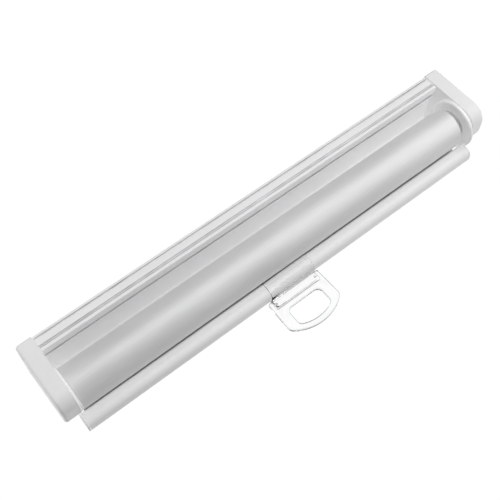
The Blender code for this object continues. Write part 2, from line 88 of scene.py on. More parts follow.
# An edge between two faces stays sharp where they turn by more than this many degrees.
SHARP = 35
EXTRUSION_SHARP = 28
CLEAR_SHARP = 40
SOFTENED_SHARP = 50
NEVER_SHARP = 180
# Points that differ by less than this are one point.
SAME_POINT = 1e-7


def rounded(corners, steps=5):
    """Points of a closed outline, each corner (u, v, radius) turned as an arc of that many steps."""
    points = []
    for i, (u, v, radius) in enumerate(corners):
        here = Vector((u, v))
        if radius == 0:
            points.append(here)
            continue
        before = (Vector(corners[i - 1][:2]) - here).normalized()
        after = (Vector(corners[(i + 1) % len(corners)][:2]) - here).normalized()
        half = before.angle(after) / 2
        turn = math.pi - 2 * half
        centre = here + (before + after).normalized() * radius / math.sin(half)
        arm = here + before * radius / math.tan(half) - centre
        side = 1 if before.cross(after) < 0 else -1
        for k in range(steps + 1):
            points.append(centre + Matrix.Rotation(side * turn * k / steps, 2) @ arm)
    return points


def circle(u, v, radius, sides=32):
    turns = [2 * math.pi * k / sides for k in range(sides)]
    return [Vector((u + radius * math.cos(a), v + radius * math.sin(a))) for a in turns]


def smooth_shade(mesh, sharp=SHARP):
    mesh.shade_smooth()
    mesh.set_sharp_from_angle(angle=math.radians(sharp))


def add_object(name, mesh, sharp=SHARP):
    obj = bpy.data.objects.new(name, mesh)
    bpy.context.scene.collection.objects.link(obj)
    smooth_shade(mesh, sharp)
    return obj


def mesh_from(name, bm):
    bmesh.ops.remove_doubles(bm, verts=bm.verts, dist=SAME_POINT)
    bmesh.ops.recalc_face_normals(bm, faces=bm.faces)
    mesh = bpy.data.meshes.new(name)
    bm.to_mesh(mesh)
    bm.free()
    return mesh


def loft(name, rings, closed_ends=True):
    """Skins rings of equally many points, with an n-gon over each end."""
    bm = bmesh.new()
    rows = [[bm.verts.new(point) for point in ring] for ring in rings]
    count = len(rows[0])
    for a, b in zip(rows, rows[1:]):
        for i in range(count):
            j = (i + 1) % count
            bm.faces.new((a[i], a[j], b[j], b[i]))
    if closed_ends:
        bm.faces.new(rows[0])
        bm.faces.new(rows[-1])
    return add_object(name, mesh_from(name, bm))


def section_ring(outline, x):
    """A section's outline as points in the row frame, at one place along the rail."""
    return [Vector((x, AXIS.y + p.x, AXIS.z + p.y)) for p in outline]


def extrusion(name, loops, low, high, along="X", sharp=SHARP, edge=0.0):
    """Flat loops, the first outside and the rest holes, drawn around the roller's axis.

    A positive edge is the radius that rounds both ends of the extrusion, kept inside the loops.
    """
    data = bpy.data.curves.new(name, "CURVE")
    data.dimensions = "2D"
    data.fill_mode = "BOTH"
    data.extrude = (high - low) / 2 - edge
    data.bevel_depth = edge
    data.bevel_resolution = 4
    data.offset = -edge
    for loop in loops:
        spline = data.splines.new("POLY")
        spline.points.add(len(loop) - 1)
        spline.use_cyclic_u = True
        for point, (u, v) in zip(spline.points, loop):
            point.co = (u, v, 0.0, 1.0)
    curve = bpy.data.objects.new(name, data)
    bpy.context.scene.collection.objects.link(curve)
    middle = (low + high) / 2
    if along == "X":
        curve.rotation_euler = (math.pi / 2, 0.0, math.pi / 2)
        curve.location = (middle, AXIS.y, AXIS.z)
    else:
        curve.rotation_euler = (math.pi / 2, 0.0, 0.0)
        curve.location = (PIVOT.x, AXIS.y + middle, AXIS.z)
    bpy.context.view_layer.update()
    graph = bpy.context.evaluated_depsgraph_get()
    made = bpy.data.meshes.new_from_object(curve.evaluated_get(graph))
    made.transform(curve.matrix_world)
    bpy.data.objects.remove(curve, do_unlink=True)
    bm = bmesh.new()
    bm.from_mesh(made)
    return add_object(name, mesh_from(name, bm), sharp)


def turned(name, profile, u=0.0, v=0.0, sides=96):
    """A closed profile of (x, radius) turned round a line along X, at (y, z) = (u, v)."""
    rings = []
    for k in range(sides):
        angle = 2 * math.pi * k / sides
        y, z = math.cos(angle), math.sin(angle)
        rings.append([Vector((x, AXIS.y + u + r * y, AXIS.z + v + r * z)) for x, r in profile])
    rings.append(rings[0])
    return loft(name, rings, False)


def with_modifiers(obj, sharp=SHARP):
    """Applies the object's modifiers, so that the mesh is final."""
    bpy.context.view_layer.update()
    graph = bpy.context.evaluated_depsgraph_get()
    mesh = bpy.data.meshes.new_from_object(obj.evaluated_get(graph))
    obj.modifiers.clear()
    obj.data = mesh
    smooth_shade(mesh, sharp)


def carve(obj, tool, operation="DIFFERENCE"):
    modifier = obj.modifiers.new(tool.name, "BOOLEAN")
    modifier.operation = operation
    modifier.solver = "EXACT"
    modifier.object = tool
    with_modifiers(obj)
    bpy.data.objects.remove(tool, do_unlink=True)


def soften(obj, width):
    """Rounds every edge that turns by more than 40 degrees."""
    bevel = obj.modifiers.new("soften", "BEVEL")
    bevel.width = width
    bevel.segments = 3
    bevel.limit_method = "ANGLE"
    bevel.angle_limit = math.radians(40)
    bevel.use_clamp_overlap = True
    with_modifiers(obj, SOFTENED_SHARP)


def rod(name, low, high, u, v, radius, sides=32):
    """A round bar along X."""
    return turned(name, [(low, 0.0), (low, radius), (high, radius), (high, 0.0)], u, v, sides)


def join(name, objects):
    """Several meshes as one piece, with the first one's materials."""
    bm = bmesh.new()
    mesh = bpy.data.meshes.new(name)
    for finish in objects[0].data.materials:
        mesh.materials.append(finish)
    for obj in objects:
        bm.from_mesh(obj.data)
        bpy.data.objects.remove(obj, do_unlink=True)
    bm.to_mesh(mesh)
    bm.free()
    return add_object(name, mesh)


# Materials


class Nodes:
    """One material's nodes, with short names for what the finishes share."""

    def __init__(self, name):
        self.material = bpy.data.materials.new(name)
        self.material.use_nodes = True
        self.tree = self.material.node_tree
        self.shader = self.tree.nodes["Principled BSDF"]
        self.place = self.add("ShaderNodeTexCoord").outputs["Object"]

    def add(self, kind, **settings):
        node = self.tree.nodes.new(kind)
        for key, value in settings.items():
            setattr(node, key, value)
        return node

    def link(self, source, target):
        self.tree.links.new(source, target)

    def mapping(self, scale):
        node = self.add("ShaderNodeMapping")
        node.inputs["Scale"].default_value = scale
        self.link(self.place, node.inputs["Vector"])
        return node.outputs["Vector"]

    def noise(self, scale, detail=3.0, stretch=(1.0, 1.0, 1.0)):
        node = self.add("ShaderNodeTexNoise")
        node.inputs["Scale"].default_value = scale
        node.inputs["Detail"].default_value = detail
        self.link(self.mapping(stretch), node.inputs["Vector"])
        return node.outputs["Fac"]

    def spread(self, source, low, high, start=0.3, end=0.7):
        """A value from a noise, moved to run from low to high."""
        node = self.add("ShaderNodeMapRange")
        node.inputs["From Min"].default_value = start
        node.inputs["From Max"].default_value = end
        node.inputs["To Min"].default_value = low
        node.inputs["To Max"].default_value = high
        self.link(source, node.inputs["Value"])
        return node.outputs["Result"]

    def maths(self, operation, first, second=None):
        node = self.add("ShaderNodeMath", operation=operation)
        for socket, value in zip(node.inputs, (first, second)):
            if isinstance(value, (int, float)):
                socket.default_value = value
            elif value is not None:
                self.link(value, socket)
        return node.outputs["Value"]

    def tint(self, source, dark, light):
        node = self.add("ShaderNodeMix", data_type="RGBA")
        node.inputs["A"].default_value = (*dark, 1.0)
        node.inputs["B"].default_value = (*light, 1.0)
        self.link(source, node.inputs["Factor"])
        self.link(node.outputs["Result"], self.shader.inputs["Base Color"])

    def bump(self, source, strength, distance, under=None):
        node = self.add("ShaderNodeBump")
        node.inputs["Strength"].default_value = strength
        node.inputs["Distance"].default_value = distance
        self.link(source, node.inputs["Height"])
        if under is not None:
            self.link(under, node.inputs["Normal"])
        self.link(node.outputs["Normal"], self.shader.inputs["Normal"])
        return node.outputs["Normal"]

    def roughness(self, source, low, high):
        self.link(self.spread(source, low, high), self.shader.inputs["Roughness"])

    def value(self, name, value):
        self.shader.inputs[name].default_value = value


def painted_aluminium():
    """White powder coat: a fine orange peel with slight clouds in its tone and gloss."""
    made = Nodes("powder_coat")
    made.tint(made.spread(made.noise(14.0), 0.0, 1.0), (0.795, 0.797, 0.800), (0.825, 0.826, 0.828))
    made.roughness(made.noise(90.0, 4.0, (0.2, 1.0, 1.0)), 0.42, 0.54)
    draw = made.bump(made.noise(420.0, 2.0, (0.03, 1.0, 1.0)), 0.10, 0.0002)
    made.bump(made.noise(1500.0, 2.0), 0.16, 0.0002, draw)
    made.value("Coat Weight", 0.06)
    made.value("Coat Roughness", 0.30)
    return made.material


def moulded_plastic(name, dark, light, gloss=(0.36, 0.48), grain=2600.0):
    """Moulded plastic: spark-eroded grain, with slow clouds in its tone from the melt's flow."""
    made = Nodes(name)
    made.tint(made.spread(made.noise(22.0, 4.0), 0.0, 1.0), dark, light)
    made.roughness(made.noise(260.0, 5.0), *gloss)
    flow = made.bump(made.noise(70.0, 3.0), 0.06, 0.0006)
    made.bump(made.noise(grain, 3.0), 0.14, 0.00015, flow)
    made.value("Subsurface Weight", 0.06)
    made.value("Subsurface Radius", (0.002, 0.002, 0.002))
    made.value("Specular IOR Level", 0.5)
    return made.material


def clear_plastic(name, dark, light):
    """Clear polycarbonate, with faint flow lines and fine handling marks."""
    made = Nodes(name)
    made.tint(made.spread(made.noise(40.0), 0.0, 1.0), dark, light)
    made.roughness(made.noise(500.0, 5.0, (1.0, 1.0, 0.2)), 0.0, 0.04)
    made.bump(made.noise(120.0, 2.0), 0.02, 0.0006)
    made.value("Transmission Weight", 1.0)
    made.value("IOR", 1.38)
    rays = made.add("ShaderNodeLightPath")
    open_way = made.add("ShaderNodeBsdfTransparent")
    mix = made.add("ShaderNodeMixShader")
    unseen = made.maths("MAXIMUM", rays.outputs["Is Shadow Ray"], rays.outputs["Is Diffuse Ray"])
    made.link(unseen, mix.inputs["Fac"])
    made.link(made.shader.outputs["BSDF"], mix.inputs[1])
    made.link(open_way.outputs["BSDF"], mix.inputs[2])
    made.link(mix.outputs["Shader"], made.tree.nodes["Material Output"].inputs["Surface"])
    return made.material


def metal(name, colour, gloss, bare=1.0):
    """Metal with drawing lines along X and a little tarnish. A bare below 1 is a thin coat on it."""
    made = Nodes(name)
    lines = made.noise(2200.0, 3.0, (0.02, 1.0, 1.0))
    dull = tuple(0.8 * c for c in colour)
    made.tint(made.spread(made.noise(60.0, 5.0), 0.0, 1.0), dull, colour)
    made.roughness(lines, *gloss)
    made.bump(lines, 0.12, 0.0001)
    made.value("Metallic", bare)
    return made.material


THREAD_PITCH = 0.00055


def satin_cloth(name, wound):
    """Grey blackout cloth with a silvery satin face: a fine plain weave, slubs and soft tone bands.

    The weave runs along X and round the roll where the cloth is wound, and along X and Z below it.
    """
    made = Nodes(name)
    split = made.add("ShaderNodeSeparateXYZ")
    made.link(made.place, split.inputs["Vector"])
    x, y, z = split.outputs
    if wound:
        dy = made.maths("SUBTRACT", y, AXIS.y)
        dz = made.maths("SUBTRACT", z, AXIS.z)
        radius = max(around_axis("fabric_roll")[1])
        run = made.maths("MULTIPLY", made.maths("ARCTAN2", dy, dz), radius)
    else:
        run = z
    thread = 2 * math.pi / THREAD_PITCH
    warp = made.maths("SINE", made.maths("MULTIPLY", x, thread))
    weft = made.maths("SINE", made.maths("MULTIPLY", run, thread))
    weave = made.maths("MULTIPLY", warp, weft)
    flat = made.add("ShaderNodeCombineXYZ")
    made.link(x, flat.inputs["X"])
    made.link(run, flat.inputs["Y"])

    def cloth_noise(scale, detail, stretch):
        node = made.add("ShaderNodeTexNoise")
        node.inputs["Scale"].default_value = scale
        node.inputs["Detail"].default_value = detail
        squeeze = made.add("ShaderNodeMapping")
        squeeze.inputs["Scale"].default_value = stretch
        made.link(flat.outputs["Vector"], squeeze.inputs["Vector"])
        made.link(squeeze.outputs["Vector"], node.inputs["Vector"])
        return node.outputs["Fac"]

    slubs = cloth_noise(900.0, 2.0, (0.05, 1.0, 1.0))
    clouds = cloth_noise(26.0, 3.0, (0.35, 1.0, 1.0))
    tone = made.maths("ADD", made.maths("MULTIPLY", clouds, 0.7), made.maths("MULTIPLY", slubs, 0.3))
    tone = made.spread(tone, 0.0, 1.0, 0.35, 0.65)
    made.tint(tone, (0.635, 0.637, 0.640), (0.715, 0.717, 0.718))
    made.roughness(clouds, 0.42, 0.54)
    waves = made.bump(cloth_noise(45.0, 2.0, (0.12, 1.0, 1.0)), 0.25, 0.0012)
    fine = made.bump(slubs, 0.10, 0.0002, waves)
    made.bump(weave, 0.10, 0.0001, fine)
    made.value("Metallic", 0.28)
    made.value("Sheen Weight", 0.25)
    made.value("Sheen Roughness", 0.4)
    return made.material


POWDER = painted_aluminium()
CAP_WHITE = moulded_plastic("cap_white_plastic", (0.765, 0.768, 0.770), (0.795, 0.797, 0.798))
DISC_WHITE = moulded_plastic(
    "disc_plastic", (0.84, 0.84, 0.845), (0.88, 0.88, 0.88), gloss=(0.26, 0.36), grain=3600.0
)
GREY_ACETAL = moulded_plastic("grey_acetal", (0.30, 0.30, 0.31), (0.36, 0.36, 0.37))
CLEAR = clear_plastic("clear_polycarbonate", (0.915, 0.920, 0.922), (0.937, 0.940, 0.942))
# Painted shade: a darker tint for the rounded edges of clear pieces, standing in for the grey
# outlines that refraction gives them.
CLEAR_EDGE_SHADE = clear_plastic("clear_polycarbonate_edge", (0.56, 0.57, 0.575), (0.62, 0.63, 0.635))
ZINC = metal("zinc_plated_steel", (0.62, 0.62, 0.65), (0.25, 0.42))
MILL = metal("mill_aluminium", (0.76, 0.76, 0.77), (0.30, 0.45))
# Painted shade: a darker, half-metallic finish for the faces in the rail's slot, groove and channel,
# standing in for the shade that falls there.
RECESS_SHADE_METAL = metal("thin_coat_in_slot", (0.83, 0.83, 0.84), (0.45, 0.60), 0.6)
WOUND_CLOTH = satin_cloth("satin_cloth_wound", True)
HUNG_CLOTH = satin_cloth("satin_cloth_hung", False)


def place(obj, body, slot, finish, *nodes):
    """Gives a piece its body and a material if it has none, and hides the CAD nodes it stands for.
    The slot is not used.
    """
    if not obj.data.materials:
        obj.data.materials.append(finish)
    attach(obj, body)
    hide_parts(*nodes)


def refinish(node, finish):
    """A CAD node that stays, with a better material."""
    data = frame["nodes"][node].data
    data.materials.clear()
    data.materials.append(finish)
    smooth_shade(data)


# Head rail and end caps

RAIL_X, RAIL_Y, RAIL_Z = around_axis("head_rail")
CAP_Y = around_axis("end_cap_left")[1]
CAP_Z = around_axis("end_cap_left")[2]
RAIL_BACK_WALL = 0.0014
GROOVE_TOP = 0.0376
GROOVE_LOW = 0.0362
GROOVE_DEPTH = 0.0016
CHANNEL_TOP = 0.0310
CHANNEL_LOW = 0.0284
CHANNEL_DEPTH = 0.0010
LIP_Z = 0.0261
LIP_BACK = -0.0130
LIP_WALL = 0.0024
SLOT_TOP = 0.0315
RIB_FRONT = -0.0100
RIB_BACK = -0.0088
HOOD_Z = 0.0302
RAIL_WALL = 0.0012
PORT_Y = (-0.0152, 0.0187)
PORT_Z = 0.0344
PORT_RADIUS = 0.0016
PORT_HALF = 0.0030
CAP_NOSE = 0.0133
CAP_BELLY_Y = 0.0020
CAP_HEEL_Z = -0.0095
CAP_WALL = 0.0016
SCREW_BOSS = 0.0044
SCREW_HEAD = 0.0027
SCREW_SEAT = 0.0032
SCREW_SHANK = 0.00125
THREAD_CREST = 0.00150
THREAD_ROOT = 0.00110
SCREW_PITCH = 0.0011
HUB_BOSS = 0.0075
HUB_SEAT = 0.0059
HUB_BORE = 0.0043


def make_rail():
    """The hood's face has a deep groove high up and a shallow channel over its lip.

    Under the hood, a slot runs between the lip and a rib. The slot, the groove and the channel get a
    darker, half-metallic finish: painted shade for the shade that falls in these recesses.
    """
    front, back = RAIL_Y
    bottom, top = RAIL_Z
    inner = back - RAIL_BACK_WALL
    outer = rounded(
        [
            (back, top, 0.0006),
            (front + 0.0002, top, 0.0009),
            (front, GROOVE_TOP, 0.0002),
            (front + GROOVE_DEPTH, GROOVE_TOP - 0.0003, 0.0003),
            (front + GROOVE_DEPTH, GROOVE_LOW + 0.0004, 0.0003),
            (front + 0.0002, GROOVE_LOW, 0.0002),
            (front, CHANNEL_TOP, 0.0004),
            (front + CHANNEL_DEPTH, CHANNEL_TOP - 0.0006, 0.0004),
            (front + CHANNEL_DEPTH, CHANNEL_LOW + 0.0012, 0.0004),
            (front + 0.0001, CHANNEL_LOW, 0.0006),
            (front, LIP_Z, 0.0006),
            (LIP_BACK, LIP_Z, 0.0005),
            (LIP_BACK, SLOT_TOP, 0.0003),
            (RIB_FRONT, SLOT_TOP, 0.0003),
            (RIB_FRONT, LIP_Z + 0.0001, 0.0004),
            (RIB_BACK, LIP_Z + 0.0001, 0.0004),
            (RIB_BACK, HOOD_Z, 0.0006),
            (inner, HOOD_Z, 0.0020),
            (inner, bottom, 0.0004),
            (back, bottom, 0.0004),
        ],
        4,
    )
    wall = RAIL_WALL
    roof = top - wall
    floor = PORT_Z - PORT_HALF
    left = front + LIP_WALL
    lip_hollow = rounded(
        [
            (left, LIP_Z + wall, 0.0003),
            (LIP_BACK - wall, LIP_Z + wall, 0.0003),
            (LIP_BACK - wall, floor, 0.0003),
            (left, floor, 0.0003),
        ],
        3,
    )
    hood_hollow = rounded(
        [
            (RIB_BACK, floor, 0.0003),
            (PORT_Y[1] - PORT_HALF, floor, 0.0003),
            (PORT_Y[1] - PORT_HALF, roof, 0.0003),
            (PORT_Y[0] + PORT_HALF, roof, 0.0003),
            (PORT_Y[0] + PORT_HALF, SLOT_TOP + wall, 0.0003),
            (RIB_BACK, SLOT_TOP + wall, 0.0003),
        ],
        3,
    )
    ports = [circle(y, PORT_Z, PORT_RADIUS, 24) for y in PORT_Y]
    loops = [outer, lip_hollow, hood_hollow, *ports]
    rail = extrusion("rail_extrusion", loops, *RAIL_X, sharp=EXTRUSION_SHARP)
    place(rail, "cassette", "white_paint", POWDER, "head_rail")
    # The second material paints shade onto the faces in the slot and in the face's groove and
    # channel.
    rail.data.materials.append(RECESS_SHADE_METAL)
    near = 0.0001
    for face in rail.data.polygons:
        y, z = face.center.y - AXIS.y, face.center.z - AXIS.z
        behind_lip = LIP_BACK - near < y < RIB_FRONT + near
        in_slot = behind_lip and LIP_Z + 2 * near < z < SLOT_TOP + near
        under_face = front + 0.0003 < y < front + 0.0020
        in_recess = under_face and LIP_Z + 0.0020 < z < GROOVE_TOP + 2 * near
        if (in_slot or in_recess) and abs(face.normal.x) < 0.5:
            face.material_index = 1


def cap_outline(inset, back=None):
    """An end cap's outline, drawn in by inset, or with its back face at back."""
    front, rear = CAP_Y
    bottom, top = CAP_Z
    if back is None:
        back = rear - inset
    return rounded(
        [
            (back, top - inset, 0.0012),
            (front + inset, top - inset, 0.0022),
            (front + inset, bottom + inset, CAP_NOSE - inset),
            (CAP_BELLY_Y, bottom + inset, 0.0080),
            (back, CAP_HEEL_Z + inset, 0.0018),
        ],
        12,
    )


def make_cap(word, side):
    """A moulded cap with a soft outer rim, an inner web, screw bosses and a hub."""
    low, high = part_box("end_cap_" + word)
    mouth, out = sorted((abs(low.x), abs(high.x)))
    rim, fillet, web_face, web_back = 0.0012, 0.0024, 0.0006, 0.0022
    steps = 7
    stations = [
        (mouth + web_face, rim),
        (mouth + 0.0003, rim),
        (mouth, rim - 0.0003),
        (mouth, 0.0003),
        (mouth + 0.0003, 0.0),
    ]
    for k in range(steps + 1):
        angle = math.pi / 2 * k / steps
        x = out - fillet * (1 - math.sin(angle))
        stations.append((x, fillet * 0.75 * (1 - math.cos(angle))))
    rings = [section_ring(cap_outline(inset), side * x) for x, inset in stations]
    cap = loft("cap_" + word, rings)
    floor = out - 0.0020

    def span(near, far):
        return sorted((side * near, side * far))

    hollow = extrusion(
        "hollow", [cap_outline(CAP_WALL, CAP_Y[1] + 0.002)], *span(mouth + web_back, floor)
    )
    carve(cap, hollow)
    inside = span(mouth + web_back - 0.0004, floor + 0.0004)
    for y in PORT_Y:
        carve(cap, rod("boss", *inside, y, PORT_Z, SCREW_BOSS), "UNION")
    carve(cap, rod("hub", *inside, 0.0, 0.0, HUB_BOSS, 48), "UNION")
    carve(cap, rod("seat", *span(mouth - 0.001, mouth + 0.0030), 0.0, 0.0, HUB_SEAT, 48))
    carve(cap, rod("bore", *span(mouth, floor), 0.0, 0.0, HUB_BORE, 48))
    for y in PORT_Y:
        carve(cap, rod("hole", *span(mouth - 0.001, out + 0.001), y, PORT_Z, PORT_RADIUS))
        carve(cap, rod("head", *span(floor, out + 0.001), y, PORT_Z, SCREW_SEAT))
    place(cap, "cassette", "white_plastic", CAP_WHITE, "end_cap_" + word)


def make_screws():
    """Flat heads with a cross recess and a rolled thread behind them."""
    for word, side in (("left", -1), ("right", 1)):
        for y, spot in zip(PORT_Y, ("front", "back")):
            node = f"cap_screw_{word}_{spot}"
            low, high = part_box(node)
            tip, top = sorted((abs(low.x), abs(high.x)))
            profile = [
                (side * top, 0.0),
                (side * top, SCREW_HEAD - 0.0003),
                (side * (top - 0.0003), SCREW_HEAD),
                (side * (top - 0.0009), SCREW_HEAD),
                (side * (top - 0.0015), SCREW_SHANK),
            ]
            x = top - 0.0024
            while x > tip + 0.0025:
                profile += [(side * x, THREAD_ROOT)]
                profile += [(side * (x - 0.4 * SCREW_PITCH), THREAD_CREST)]
                x -= SCREW_PITCH
            profile += [(side * (tip + 0.0012), 0.0008), (side * tip, 0.0)]
            screw = turned(f"screw_{word}_{spot}", profile, y, PORT_Z, 28)
            depth = sorted((side * (top - 0.0008), side * (top + 0.001)))
            for dy, dz in ((0.0016, 0.0003), (0.0003, 0.0016)):
                outline = [(y + dy, PORT_Z + dz), (y - dy, PORT_Z + dz)]
                outline += [(y - dy, PORT_Z - dz), (y + dy, PORT_Z - dz)]
                carve(screw, extrusion("arm", [outline], *depth))
            place(screw, "cassette", "steel", ZINC, node)


# Roller, cloth and discs

CLOTH_X = around_axis("fabric_roll")[0]
ROLL_RADIUS = around_axis("fabric_roll")[1][1]
CORE_RADIUS = around_axis("roller_tube")[1][1]
CLOTH = 0.00042
PITCH = 0.00045
SHEET_Y = sum(around_axis("fabric_drop")[1]) / 2
DROP_X = around_axis("fabric_drop")[0]
DROP_Z = around_axis("fabric_drop")[2]
BLIND_DROP = JOINTS["bar_drop"]["range_m"][1]
PLUG_RADIUS = 0.0112


def uneven(x, angle):
    """How far the winding stands off a true cylinder, from slack in the cloth."""
    slow = math.sin(2 * angle + 9 * x) * 0.5 + math.sin(3 * angle - 14 * x + 1.3) * 0.3
    return 0.00007 * (slow + 0.2 * math.sin(5 * angle + 31 * x))


def across(x_range, columns):
    """Evenly spaced places from one side of a cloth to the other."""
    low, high = x_range
    return [low + (high - low) * i / (columns - 1) for i in range(columns)]


def cloth_from(name, rows):
    """A cloth of the right thickness over rows of equally many points."""
    bm = bmesh.new()
    grid = [[bm.verts.new(point) for point in row] for row in rows]
    for a, b in zip(grid, grid[1:]):
        for i in range(len(a) - 1):
            bm.faces.new((a[i], a[i + 1], b[i + 1], b[i]))
    cloth = add_object(name, mesh_from(name, bm), NEVER_SHARP)
    solid = cloth.modifiers.new("thickness", "SOLIDIFY")
    solid.thickness = CLOTH
    solid.offset = 0.0
    with_modifiers(cloth, SOFTENED_SHARP)
    return cloth


def make_wound_cloth():
    """The cloth as one sheet wound in a spiral, from the tube to the back of the roll."""
    inner = CORE_RADIUS + 0.0003 + PITCH / 2
    outer = ROLL_RADIUS - PITCH / 2 - 0.0001
    turns = (outer - inner) / PITCH
    count = round(turns * 60)
    rows = []
    for k in range(count + 1):
        angle = -2 * math.pi * turns * (1 - k / count)
        radius = inner + (outer - inner) * k / count
        row = []
        for x in across(CLOTH_X, 25):
            r = radius + uneven(x, angle)
            row.append((x, AXIS.y + r * math.cos(angle), AXIS.z + r * math.sin(angle)))
        rows.append(row)
    cloth = cloth_from("wound_cloth", rows)
    place(cloth, "roller", "blind_fabric", WOUND_CLOTH, "fabric_roll")


def make_cloth_drop():
    """The cloth from the back of the roll to the bar, with rows to spare for the bar's travel."""
    lap = math.radians(28)
    radius = SHEET_Y
    path = []
    for k in range(9):
        angle = lap * (1 - k / 8)
        path.append((radius * math.cos(angle), radius * math.sin(angle)))
    steps = 150
    for k in range(1, steps + 1):
        path.append((radius, DROP_Z[1] + (DROP_Z[0] - DROP_Z[1]) * k / steps))
    rows = [[(x, AXIS.y + y, AXIS.z + z) for x in across(DROP_X, 17)] for y, z in path]
    cloth = cloth_from("cloth_drop", rows)
    cloth.data.materials.append(HUNG_CLOTH)
    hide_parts("fabric_drop")
    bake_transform(cloth)


def disc_face(inner_face, outer_face, radius):
    """A flange disc from its hub face out to a full round rim and back to its outer face."""
    way = 1 if outer_face > inner_face else -1
    rise, soft = 0.0006, 0.0006
    crest = inner_face - way * rise
    thick = abs(outer_face - crest)
    r = min(0.0011, thick / 2)
    points = [(inner_face, radius - 0.0052), (inner_face - way * 0.15 * rise, radius - 0.0042)]
    points += [(inner_face - way * 0.7 * rise, radius - 0.0029)]
    for k in range(9):
        angle = math.pi / 2 * k / 8
        x = crest + way * r * (1 - math.cos(angle))
        points.append((x, radius - r + r * math.sin(angle)))
    for k in range(5):
        angle = math.pi / 2 * k / 4
        x = outer_face - way * soft * (1 - math.sin(angle))
        points.append((x, radius - soft + soft * math.cos(angle)))
    return points


def make_discs():
    """The plugs in the tube's ends, with their flange discs."""
    (low, high), (_, radius), _ = around_axis("idle_plug")
    face = low + 0.0008
    bore, floor = 0.0023, -0.1655
    profile = [(high, 0.0), (high, PLUG_RADIUS - 0.0006)]
    profile += [(high - 0.0006, PLUG_RADIUS), (face + 0.0002, PLUG_RADIUS)]
    profile += disc_face(face, low, radius)
    profile += [(low, 0.0090), (low + 0.0006, 0.0084), (low + 0.0006, 0.0042), (low, 0.0038)]
    profile += [(low, bore + 0.0003), (low + 0.0003, bore), (floor, bore), (floor, 0.0)]
    disc = turned("disc_left", profile)
    place(disc, "roller", "disc_plastic", DISC_WHITE, "idle_plug")

    (low, high), (_, radius), _ = around_axis("spring_plug")
    bore, shoulder, hub = 0.0043, 0.1600, 0.0060
    face = high - 0.0021
    profile = [(high, bore), (high, 0.0066), (high - 0.0006, 0.0072), (high - 0.0006, 0.0100)]
    profile += [(high, 0.0106)]
    profile += disc_face(face, high, radius)[::-1]
    profile += [(face, PLUG_RADIUS), (shoulder, PLUG_RADIUS), (shoulder, hub)]
    profile += [(low, hub), (low, bore), profile[0]]
    disc = turned("disc_right", profile)
    place(disc, "roller", "disc_plastic", DISC_WHITE, "spring_plug")


# Bottom bar, pull clip and ring

BAR_X, BAR_Y, BAR_Z = around_axis("bottom_bar")
HEM_Z = sum(around_axis("hem_rod")[2]) / 2
BAR_EDGE = 0.0026
BAR_BELLY = 0.0060
BAR_BACK_EDGE = 0.0016
BAR_BACK_BELLY = 0.0022
BAR_WALL = 0.0012
CLIP_CORNER = 0.0060
CLIP_WALL = 0.0013
CLIP_LIP_Y = 0.0140
CLIP_HOOK = 0.0046
HEM_GROOVE = 0.0021
HEM_SLOT = 0.0006
STUD_BORE = 0.0009
STUD_RADIUS = 0.0006
RING_EDGE = 0.0008
GAP = 0.0003


def bar_corners():
    """The bar's corners before and after the hem groove in its top."""
    front, back = BAR_Y
    bottom, top = BAR_Z
    return (
        [(back, top, BAR_BACK_EDGE)],
        [(front, top, BAR_EDGE), (front, bottom, BAR_BELLY), (back, bottom, BAR_BACK_BELLY)],
    )


def make_bar():
    """A hollow bar with a keyhole groove for the hem, and a thin cap with a soft rim at each end."""
    dip = math.asin(HEM_SLOT / HEM_GROOVE)
    steps = 30
    groove = []
    for k in range(steps + 1):
        angle = math.pi / 2 - dip - (2 * math.pi - 2 * dip) * k / steps
        y = SHEET_Y + HEM_GROOVE * math.cos(angle)
        groove.append((y, HEM_Z + HEM_GROOVE * math.sin(angle), 0))
    first, rest = bar_corners()
    top = BAR_Z[1]
    slot_right = [(SHEET_Y + HEM_SLOT, top, 0.0002)]
    slot_left = [(SHEET_Y - HEM_SLOT, top, 0.0002)]
    outer = rounded(first + slot_right + groove + slot_left + rest, 10)
    left, right = BAR_Y[0] + BAR_WALL, SHEET_Y - HEM_GROOVE - BAR_WALL
    floor, roof = BAR_Z[0] + BAR_WALL, top - BAR_WALL
    hollow = rounded(
        [
            (right, roof, 0.0004),
            (left, roof, BAR_EDGE - BAR_WALL),
            (left, floor, BAR_BELLY - BAR_WALL),
            (right, floor, 0.0004),
        ],
        8,
    )
    bar = extrusion("bar_extrusion", [outer, hollow], *BAR_X, sharp=EXTRUSION_SHARP)
    place(bar, "bar", "white_paint", POWDER, "bottom_bar")
    outline = rounded(first + rest, 10)
    middle = Vector(((BAR_Y[0] + BAR_Y[1]) / 2, (BAR_Z[0] + BAR_Z[1]) / 2))
    soft = 0.0005

    def shrunk(by):
        return [p - (p - middle).normalized() * by for p in outline]

    for word, way in (("left", -1), ("right", 1)):
        low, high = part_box("bar_cap_" + word)
        out = low.x if way < 0 else high.x
        near = BAR_X[0 if way < 0 else 1] + way * GAP
        rings = [section_ring(shrunk(0.0001), near), section_ring(shrunk(0.0), near + way * 0.0001)]
        for k in range(6):
            angle = math.pi / 2 * k / 5
            x = out - way * soft * (1 - math.sin(angle))
            rings.append(section_ring(shrunk(soft * (1 - math.cos(angle))), x))
        cap = loft("bar_end_" + word, rings)
        place(cap, "bar", "white_plastic", CAP_WHITE, "bar_cap_" + word)


def paint_clear_edge_shade(obj):
    """Paints a clear piece's rounded edges, which turn from its flat faces, with a darker tint:
    painted shade for the grey outlines that refraction draws along clear edges.
    """
    obj.data.materials.append(CLEAR)
    obj.data.materials.append(CLEAR_EDGE_SHADE)
    for face in obj.data.polygons:
        if 0.05 < abs(face.normal.y) < 0.97:
            face.material_index = 1


